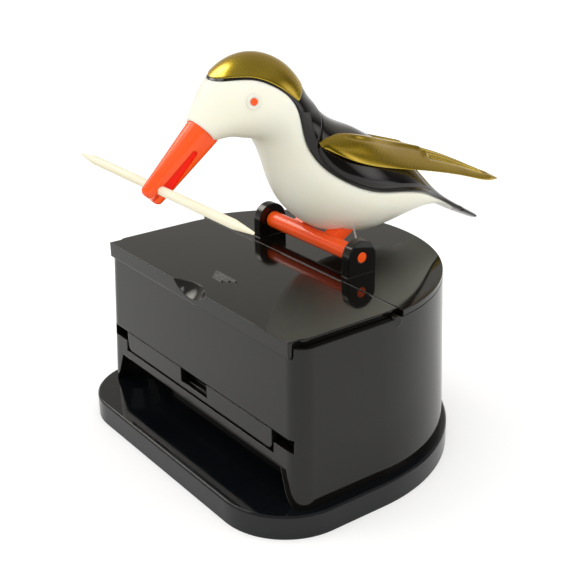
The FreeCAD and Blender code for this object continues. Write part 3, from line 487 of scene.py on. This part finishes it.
def tint(tree, value, stops):
    """A colour by value, from (value, colour) stops."""
    c = tree.nodes.new("ShaderNodeValToRGB")
    while len(c.color_ramp.elements) < len(stops):
        c.color_ramp.elements.new(0.5)
    for element, (place, colour) in zip(c.color_ramp.elements, stops):
        element.position = place
        element.color = (*colour, 1)
    link(tree, value, c.inputs["Fac"])
    return c.outputs["Color"]


def relief(tree, shader, height, strength, distance, bevel):
    """Rounded edges and a fine relief."""
    edge = tree.nodes.new("ShaderNodeBevel")
    edge.samples = 6
    edge.inputs["Radius"].default_value = bevel * MM
    bump = tree.nodes.new("ShaderNodeBump")
    bump.inputs["Strength"].default_value = strength
    bump.inputs["Distance"].default_value = distance * MM
    link(tree, height, bump.inputs["Height"])
    link(tree, edge.outputs["Normal"], bump.inputs["Normal"])
    link(tree, bump.outputs["Normal"], shader.inputs["Normal"])


# ---------------------------------------------------------------- materials
def material(name):
    """A new material, its tree and shader, and the place in the piece's own space, in metres."""
    m = bpy.data.materials.new(name)
    m.use_nodes = True
    tree = m.node_tree
    place = tree.nodes.new("ShaderNodeTexCoord").outputs["Object"]
    return m, tree, tree.nodes["Principled BSDF"], place


def gloss_plastic(name, low, high, roughness, wave, bevel, specular=0.5, depth=None):
    """Moulded gloss plastic: faint sink waves, colour drift and handling haze. depth is how light
    goes into it: its weight, its radius by colour and its scale in metres."""
    m, tree, shader, place = material(name)
    drift = noise(tree, place, 40.0, 2.0)
    link(tree, tint(tree, drift, ((0.3, low), (0.7, high))), shader.inputs["Base Color"])
    haze = noise(tree, place, 160.0, 6.0, 0.65)
    link(tree, ramp(tree, haze, 0.35, 0.75, *roughness), shader.inputs["Roughness"])
    sink = noise(tree, place, 55.0, 1.0)
    relief(tree, shader, sink, 1.0, wave, bevel)
    shader.inputs["IOR"].default_value = 1.46
    shader.inputs["Specular IOR Level"].default_value = specular
    if depth:
        for part, value in zip(("Weight", "Radius", "Scale"), depth):
            shader.inputs["Subsurface " + part].default_value = value
    return m


def steel(name, colour, scale):
    """Bright steel with streaks across X."""
    m, tree, shader, place = material(name)
    streak = noise(tree, place, scale, 5.0, 0.6, (0.2, 1.0, 1.0))
    stops = ((0.3, tuple(c * 0.8 for c in colour)), (0.7, colour))
    link(tree, tint(tree, streak, stops), shader.inputs["Base Color"])
    link(tree, ramp(tree, streak, 0.3, 0.7, 0.18, 0.36), shader.inputs["Roughness"])
    relief(tree, shader, streak, 0.4, 0.01, 0.05)
    shader.inputs["Metallic"].default_value = 1.0
    return m


def gold_lacquer(name):
    """Gold-olive metallic lacquer with fine flake under a soft clear coat."""
    m, tree, shader, place = material(name)
    flake = noise(tree, place, 3600.0, 2.0, 0.7)
    cloud = noise(tree, place, 90.0, 3.0)
    mix = tree.nodes.new("ShaderNodeMix")
    mix.data_type = "FLOAT"
    mix.inputs["Factor"].default_value = 0.14
    link(tree, cloud, mix.inputs["A"])
    link(tree, flake, mix.inputs["B"])
    stops = ((0.3, (0.42, 0.28, 0.004)), (0.5, (0.50, 0.34, 0.007)), (0.72, (0.60, 0.425, 0.02)))
    link(tree, tint(tree, mix.outputs["Result"], stops), shader.inputs["Base Color"])
    link(tree, ramp(tree, flake, 0.3, 0.7, 0.24, 0.29), shader.inputs["Roughness"])
    relief(tree, shader, flake, 0.05, 0.005, 0.15)
    shader.inputs["Metallic"].default_value = 1.0
    shader.inputs["Coat Weight"].default_value = 0.9
    shader.inputs["Coat Roughness"].default_value = 0.15
    shader.inputs["Specular Tint"].default_value = (0.85, 0.68, 0.25, 1)
    return m


def wood(name):
    """Pale birch with grain along the pick."""
    m, tree, shader, place = material(name)
    grain = noise(tree, place, 1400.0, 6.0, 0.6, (0.035, 1.0, 1.0))
    fibre = noise(tree, place, 5200.0, 3.0, 0.6, (0.02, 1.0, 1.0))
    stops = ((0.25, (0.76, 0.66, 0.42)), (0.5, (0.87, 0.82, 0.62)), (0.75, (0.92, 0.89, 0.74)))
    link(tree, tint(tree, grain, stops), shader.inputs["Base Color"])
    shader.inputs["Roughness"].default_value = 0.55
    relief(tree, shader, fibre, 0.6, 0.03, 0.05)
    return m


# by slot: the darker and the lighter colour, the roughness, then wave and bevel in mm
looks = {
    "black_plastic": gloss_plastic(
        "base_black", (0.0026, 0.0034, 0.0046), (0.0040, 0.0048, 0.0060), (0.05, 0.12), 0.04, 0.4),
    "grey_plastic": gloss_plastic(
        "box_black", (0.0030, 0.0028, 0.0022), (0.0046, 0.0042, 0.0034), (0.05, 0.12), 0.04, 0.35),
    "black_gloss": gloss_plastic(
        "bird_black", (0.0030, 0.0024, 0.0022), (0.0050, 0.0034, 0.0034), (0.03, 0.08), 0.03, 0.12),
    "white_plastic": gloss_plastic(
        "bird_white", (0.90, 0.855, 0.68), (0.93, 0.90, 0.765), (0.34, 0.46), 0.03, 0.15,
        specular=0.35, depth=(0.35, (1.0, 0.75, 0.5), 0.0025)),
    "orange_plastic": gloss_plastic(
        "bird_orange", (0.94, 0.085, 0.008), (0.98, 0.115, 0.013), (0.18, 0.28), 0.03, 0.15,
        depth=(0.2, (1.0, 0.25, 0.08), 0.0015)),
    "gold": gold_lacquer("gold_lacquer"),
    "steel": steel("steel", (0.62, 0.62, 0.62), 900.0),
    "spring_steel": steel("spring_steel", (0.70, 0.70, 0.71), 2500.0),
    "pick_wood": wood("pick_wood"),
}
# the inside of the beak's slit: a darker, redder copy of the orange that paints the shade inside the slit
painted_shade_orange = gloss_plastic(
    "slit_orange_painted_shade", (0.84, 0.010, 0.001), (0.90, 0.018, 0.002), (0.3, 0.45), 0.03, 0.1, specular=0.2)


def dress(piece, slot):
    """Gives the piece the material of that slot."""
    piece.data.materials.clear()
    piece.data.materials.append(looks[slot])


for entry in frame["record"]["subparts"]:
    node = nodes[entry["node"]]
    look = looks[entry["material_slot"]]
    for place in node.material_slots:
        place.material = look
    if not node.material_slots:
        node.data.materials.append(look)

# ---------------------------------------------------------------- white front, black back, gold cap
back_line = smooth_line(BACK_EDGE)
collar_line = smooth_line(COLLAR, 120)
cap_line = smooth_line(np.vstack((CAP_EDGE, CAP_BACK)))
fine = np.linspace(0, BODY_END, 2001)
edge_angle = reach(back_line, fine)
hood_start = fine[np.nonzero(edge_angle > 0)[0][0]]
# where the black meets below the tail, if it does
all_black = np.nonzero((edge_angle >= math.pi - 1e-6) & (fine > hood_start))[0]
white_end = fine[all_black[0]] if len(all_black) else BODY_END
cap_start = fine[np.nonzero(reach(cap_line, fine) > 0)[0][0]]
cap_end = RING_AT[5] + 1.5
# rows lie closer together from the hood's start to FRONT mm behind it and over the last TAIL_ROWS mm;
# the black has another spacing from TAIL_FROM on
FRONT, TAIL_FROM, TAIL_ROWS = 12.0, 40.0, 3.0


def tail_rows(first, last):
    """Rows from first to last, closer together over the last TAIL_ROWS mm."""
    near_end = last - spread(0, TAIL_ROWS, 34, 1.6)[::-1]
    return np.concatenate((np.linspace(first, last - TAIL_ROWS, 120), near_end[1:]))


def white_height(d, p, edge):
    """The white dips along its edge, to lie under the black."""
    return -WHITE_DIP * (1 - smoothstep(0, WHITE_DIP_WIDTH, d)) * smoothstep(0, WHITE_DIP_ANGLE, edge)


def hood_height(d, p, edge):
    """The collar stands proud of the back plate, with a crease behind it, on the neck and the flank."""
    gap = side_gap(collar_line, p)
    fade = 1 - smoothstep(*COLLAR_TAIL, p[..., 1] - PERCH[1])
    fade = fade * (1 - smoothstep(*COLLAR_HEAD, p[..., 2] - PERCH[2]))
    crease = CREASE_DEPTH * hill(gap, CREASE_AT, CREASE_WIDTH)
    rim = COLLAR_RISE * (1 - smoothstep(*COLLAR_SLOPE, gap)) - crease
    dip = BLACK_DIP * (1 - smoothstep(0, BLACK_DIP_WIDTH, d))
    return rim * fade * smoothstep(0, COLLAR_EDGE, d) - dip * fade


def cap_height(d, p, edge):
    """The cap stands off evenly, with a round edge."""
    return CAP_RISE * smoothstep(0, 1, np.sqrt(np.maximum(d, 0) / CAP_ROUND))


rows_at = np.concatenate((
    hood_start - spread(0, hood_start, 26, 1.6)[::-1], hood_start + spread(0, FRONT, 50, 2.0)[1:],
    tail_rows(hood_start + FRONT, white_end)[1:],
))
p = skin_sheet(back_line, rows_at, math.pi, white_height, WHITE_NEAR, count=44, samples=400)
white_shell = grid_piece("white_front", p, WELD)
shell(white_shell, BODY_WALL)
dress(white_shell, "white_plastic")
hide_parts("bird_body_shell")

rows_at = np.concatenate((
    hood_start + spread(0.02, FRONT, 60, 2.0), np.linspace(hood_start + FRONT, TAIL_FROM, 150)[1:],
    tail_rows(TAIL_FROM, BODY_END)[1:],
))
p = skin_sheet(back_line, rows_at, 0.0, hood_height, HOOD_NEAR, count=60, samples=200)
black_shell = grid_piece("black_back", p, WELD)
started = smoothstep(*HOOD_START, far_back(black_shell))
shell(black_shell, BODY_WALL, HOOD_START_WALL + (1 - HOOD_START_WALL) * started)
dress(black_shell, "black_gloss")
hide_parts("bird_back_shell")

rows_at = cap_start + spread(0.02, cap_end - cap_start, 110, 1.7)
p = skin_sheet(cap_line, rows_at, 0.0, cap_height, CAP_NEAR, count=34, samples=200)
cap = grid_piece("gold_cap", p, WELD)
bm = bmesh.new()
bm.from_mesh(cap.data)
corner = Vector(side_spot(*CAP_EDGE[-1])) * MM
run = (Vector(side_spot(*CAP_TOP)) * MM - corner).normalized()
bmesh.ops.bisect_plane(
    bm, geom=bm.verts[:] + bm.edges[:] + bm.faces[:], plane_co=corner,
    plane_no=Vector((0, run.z, -run.y)), clear_outer=True)
bm.to_mesh(cap.data)
bm.free()
shell(cap, CAP_WALL)
dress(cap, "gold")
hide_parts("head_cap")


# ---------------------------------------------------------------- eyes
def skin_spot(back, up):
    """The skin's point on the left at a side-view place, and its normal."""
    r = ring(np.linspace(0, RING_AT[6], 300))
    p = skin_point(r, np.tile(np.linspace(0.2, math.pi - 0.2, 200), (len(r), 1)))
    off = np.hypot(p[..., 1] - PERCH[1] - back, p[..., 2] - PERCH[2] - up)
    found = np.unravel_index(np.argmin(off), off.shape)
    return p[found], outward_normals(p, r)[found]


def turned(name, profile, side, count=48):
    """A piece turned about the eye's axis from (radius, height over the skin) points."""
    first = np.cross(eye_axis, (0.0, 0.0, 1.0))
    first /= np.linalg.norm(first)
    second = np.cross(eye_axis, first)
    angle = np.linspace(0, 2 * math.pi, count, endpoint=False)[:, None]
    around = np.cos(angle) * first + np.sin(angle) * second
    rows = [eye_spot + eye_axis * out + radius * around for radius, out in profile]
    return grid_piece(name, np.array(rows) * (side, 1, 1), WELD_SMALL, closed=True)


eye_spot, eye_axis = skin_spot(*EYE)
# the pupil's radius at its axis, small enough to be welded to a point
TIP = 0.001
lip = (EYE_CUP - EYE_PUPIL - BEAD_GAP) / 2
cup_profile = [(EYE_CUP + CUP_FLARE, -CUP_DEPTH)]
for a in np.linspace(0, math.pi, 15):
    cup_profile.append((EYE_CUP - lip + lip * math.cos(a), CUP_RISE * math.sin(a) - CUP_SINK))
cup_profile += [(EYE_PUPIL + HOLE_GAP, -CUP_DEPTH), cup_profile[0]]
pupil_profile = [(EYE_PUPIL, -PUPIL_DEPTH)]
for a in np.linspace(0, math.pi / 2, 10)[:-1]:
    pupil_profile.append((EYE_PUPIL * math.cos(a) ** 0.8, PUPIL_RISE * math.sin(a)))
pupil_profile += [(TIP, PUPIL_RISE), (TIP, -PUPIL_DEPTH), pupil_profile[0]]
for side, which in ((1, "left"), (-1, "right")):
    dress(turned("eye_cup_" + which, cup_profile, side), "white_plastic")
    pupil = turned("pupil_" + which, pupil_profile, side)
    dress(pupil, "orange_plastic")
    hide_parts("eye_" + which)

# ---------------------------------------------------------------- beak
beak = balls_hull("beak_form", BEAK_BALLS)
seat = [
    (PICK[0] + PICK_SEAT * math.cos(a), PICK[1] + PICK_SEAT * math.sin(a))
    for a in np.linspace(0, 2 * math.pi, 40, endpoint=False)
]
cuts = {"slit": SLIT, "notch": NOTCH, "seat": seat}
carve(beak, [prism(name, outline, CUT_HALF) for name, outline in cuts.items()])
smooth(beak.data)
beak.data.set_sharp_from_angle(angle=math.radians(38))
dress(beak, "orange_plastic")
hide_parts("beak")
web = prism("beak_web", WEB, WEB_HALF)
smooth(web.data, False)
dress(web, "orange_plastic")
# the web takes the darker red that paints the shade inside the slit
web.data.materials[0] = painted_shade_orange


# ---------------------------------------------------------------- wings
def blade_relief(back, s):
    """What stands off the outer face, in mm, at shares s of the way down the blade."""
    fore = 1 - smoothstep(*STEP, back)
    rib = RIB[0] * hill(s, *RIB[1:]) - VALLEY[0] * hill(s, *VALLEY[1:])
    out = fore * rib * smoothstep(*RIB_START, back)
    for place in GROOVES:
        out -= (1 - fore) * GROOVE_DEPTH * hill(s, place, GROOVE_WIDTH) * (1 - smoothstep(*GROOVE_END, back))
    out -= (1 - fore) * STEP_DEPTH * (1 - smoothstep(*STEP_END, s))
    out += BOSS_RISE * hill(back, BOSS_BACK, BOSS_LENGTH) * hill(s, BOSS_AT, BOSS_WIDTH)
    for place, across in DOTS:
        out += DOT_RISE * hill(back, place, DOT_LENGTH) * hill(s, across, DOT_WIDTH)
    return out


def wing(name, replaced, side, count=128):
    """A thin blade with relief on its outer face, through the wing's sections."""
    along = chord(WING_RINGS[:, [0, 2]])
    front_rows = 6
    at = np.concatenate((spread(0, front_rows, 24, 1.5), np.linspace(front_rows, along[-1], 260)[1:]))
    angle = np.linspace(0, 2 * math.pi, count, endpoint=False)
    s = (1 - np.cos(angle)) / 2
    outer = angle < math.pi
    rounding = SQUARE + (SHARP - SQUARE) * smoothstep(*SHARP_FROM, s)
    thick = np.abs(np.sin(angle)) ** rounding * np.sign(np.sin(angle))
    rows = []
    for place, (back, top_x, top_z, foot_x, foot_z) in zip(at, natural_spline(along, WING_RINGS, at)):
        top, foot = np.array((top_x, top_z)), np.array((foot_x, foot_z))
        length = max(np.linalg.norm(top - foot), 1e-3)
        down = (foot - top) / length
        out = np.array((-down[1], down[0]))
        if out[0] < 0:
            out = -out
        half = WING_HALF * min(1.0, length / FULL_THICK) * smoothstep(*FRONT_ROUND, place)
        swell = 1 + SWELL * hill(back, SWELL_BACK, SWELL_LENGTH) * (1 - smoothstep(*SWELL_END, s))
        offset = thick * half * np.where(outer, swell, 1.0)
        offset += blade_relief(back, s) * outer * min(1.0, length / FULL_RELIEF)
        xz = top + np.outer(s * length, down) + np.outer(offset, out)
        rows.append(np.column_stack((side * xz[:, 0], np.full(count, PERCH[1] + back), PERCH[2] + xz[:, 1])))
    p = np.array(rows)
    verts = np.vstack((p.reshape(-1, 3), p[0].mean(axis=0)))
    faces = grid_faces(len(p), count, closed=True)
    faces += [(len(verts) - 1, (j + 1) % count, j) for j in range(count)]
    piece = new_piece(name, verts, faces, WELD_SMALL)
    dress(piece, "gold")
    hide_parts(replaced)


wing("wing_near", "wing_left", 1)
wing("wing_far", "wing_right", -1)

# ---------------------------------------------------------------- floor
FLOOR_HALF = 4
FLOOR_COLOUR = (0.76, 0.755, 0.74, 1)
# the floor's own light, so that it looks white to the camera and a little in reflections
FLOOR_GLOW, FLOOR_GLOW_MIRRORED = 0.34, 0.10


def ray_kinds(tree):
    """1 for the camera's own rays, and 1 for mirrored and clear ones."""
    rays = tree.nodes.new("ShaderNodeLightPath").outputs
    return rays["Is Camera Ray"], calc(tree, "MAXIMUM", rays["Is Glossy Ray"], rays["Is Transmission Ray"])


corners = [(x * FLOOR_HALF, y * FLOOR_HALF, 0) for x, y in ((-1, -1), (1, -1), (1, 1), (-1, 1))]
floor_mesh = bpy.data.meshes.new("floor")
floor_mesh.from_pydata(corners, [], [(0, 1, 2, 3)])
floor = bpy.data.objects.new("floor", floor_mesh)
floor.location.z = cad_low.z
bpy.context.scene.collection.objects.link(floor)

floor_look = bpy.data.materials.new("floor")
floor_look.use_nodes = True
tree = floor_look.node_tree
tree.nodes.clear()
diffuse = tree.nodes.new("ShaderNodeBsdfDiffuse")
diffuse.inputs["Color"].default_value = FLOOR_COLOUR
glow = tree.nodes.new("ShaderNodeEmission")
glow.inputs["Color"].default_value = (1, 1, 1, 1)
camera_ray, mirror_ray = ray_kinds(tree)
mirrored = calc(tree, "MULTIPLY", mirror_ray, FLOOR_GLOW_MIRRORED)
link(tree, calc(tree, "MULTIPLY_ADD", camera_ray, FLOOR_GLOW, mirrored), glow.inputs["Strength"])
both = tree.nodes.new("ShaderNodeAddShader")
link(tree, diffuse.outputs[0], both.inputs[0])
link(tree, glow.outputs[0], both.inputs[1])
out = tree.nodes.new("ShaderNodeOutputMaterial")
link(tree, both.outputs[0], out.inputs["Surface"])
floor_mesh.materials.append(floor_look)

# ---------------------------------------------------------------- world
# the room's grey by height, as the gloss of the object mirrors it
SKY = (
    (0.0, (0.92, 0.92, 0.92)), (0.06, (0.75, 0.74, 0.72)), (0.22, (0.54, 0.52, 0.47)),
    (0.50, (0.44, 0.42, 0.38)), (1.0, (0.34, 0.34, 0.34)),
)
# from, to, share before, share after: the room is dim to the bird's left (+X), but not high up (+Z)
ROOM_BY_X, ROOM_BY_Z = (-0.15, 0.35, 1.0, 0.10), (0.35, 0.75, 0.0, 1.0)
# two soft bright windows, behind the bird and high up on the other side: way, edge, strength
WINDOWS = (((0.60, 0.76, 0.25), 0.945, 3.0), ((-0.74, -0.20, 0.64), 0.945, 15.0))
# the even white light on everything that isn't a mirror image
FILL = 0.96


def background(tree, colour=None, strength=1.0):
    """A background shader: its colour is a socket or plain white, its strength a socket or a number."""
    b = tree.nodes.new("ShaderNodeBackground")
    b.inputs["Color"].default_value = (1, 1, 1, 1)
    if colour is not None:
        link(tree, colour, b.inputs["Color"])
    if isinstance(strength, float):
        b.inputs["Strength"].default_value = strength
    else:
        link(tree, strength, b.inputs["Strength"])
    return b.outputs[0]


def mix_shaders(tree, share, first, second):
    m = tree.nodes.new("ShaderNodeMixShader")
    for socket, value in zip(m.inputs, (share, first, second)):
        link(tree, value, socket)
    return m.outputs[0]


world = bpy.data.worlds.new("studio")
bpy.context.scene.world = world
world.use_nodes = True
tree = world.node_tree
tree.nodes.clear()
direction = tree.nodes.new("ShaderNodeTexCoord").outputs["Generated"]
split = tree.nodes.new("ShaderNodeSeparateXYZ")
link(tree, direction, split.inputs[0])
sky = tint(tree, split.outputs["Z"], SKY)
room_by_x = ramp(tree, split.outputs["X"], *ROOM_BY_X)
room_by_z = ramp(tree, split.outputs["Z"], *ROOM_BY_Z)
lit = calc(tree, "MAXIMUM", room_by_x, room_by_z)
for way, edge_at, strength in WINDOWS:
    window = tree.nodes.new("ShaderNodeVectorMath")
    window.operation = "DOT_PRODUCT"
    window.inputs[1].default_value = way
    link(tree, direction, window.inputs[0])
    lit = calc(tree, "ADD", lit, ramp(tree, window.outputs["Value"], edge_at, 1.0, 0.0, strength))
camera_ray, mirror_ray = ray_kinds(tree)
seen = mix_shaders(tree, mirror_ray, background(tree, strength=FILL), background(tree, sky, lit))
out = tree.nodes.new("ShaderNodeOutputWorld")
link(tree, mix_shaders(tree, camera_ray, seen, background(tree)), out.inputs["Surface"])

# ---------------------------------------------------------------- lamps and camera
LAMP_AIM = (0, 0, 0.05)
# place, power, size, and whether the gloss mirrors it
LAMPS = {
    "key": ((-0.42, -0.32, 0.85), 1.5, (0.65, 0.22), True),
    "side_card": ((0.62, 0.72, 0.32), 1.6, (0.5, 0.4), False),
    "front_card": ((0.75, -0.62, 0.30), 1.9, (0.6, 0.5), False),
}
# the camera as fitted to the photograph: place in mm, angles in radians, lens in mm
CAMERA_PLACE = (181.0, -133.0, 127.6)
YAW, PITCH, ROLL = 0.936585, 0.396377, -0.014654
LENS, SENSOR = 68.57, 36.0

for name, (place, power, size, mirrored) in LAMPS.items():
    data = bpy.data.lights.new(name, "AREA")
    data.shape = "RECTANGLE"
    data.size, data.size_y = size
    data.energy = power
    item = bpy.data.objects.new(name, data)
    item.location = place
    item.rotation_mode = "QUATERNION"
    item.rotation_quaternion = (Vector(LAMP_AIM) - Vector(place)).to_track_quat("-Z", "Y")
    item.visible_glossy = mirrored
    bpy.context.scene.collection.objects.link(item)

view = bpy.data.cameras.new("view")
view.lens = LENS
view.sensor_width = SENSOR
view.clip_start, view.clip_end = 0.01, 10.0
camera = bpy.data.objects.new("view", view)
ahead = Vector((-math.sin(YAW) * math.cos(PITCH), math.cos(YAW) * math.cos(PITCH), -math.sin(PITCH)))
level = Vector((math.cos(YAW), math.sin(YAW), 0))
upright = level.cross(ahead)
right = math.cos(ROLL) * level + math.sin(ROLL) * upright
over = -math.sin(ROLL) * level + math.cos(ROLL) * upright
turn = Matrix((right, over, -ahead)).transposed()
camera.matrix_world = Matrix.Translation(Vector(CAMERA_PLACE) * MM) @ turn.to_4x4()
bpy.context.scene.collection.objects.link(camera)
bpy.context.scene.camera = camera
bpy.context.scene.view_settings.view_transform = "Standard"

bpy.context.view_layer.update()
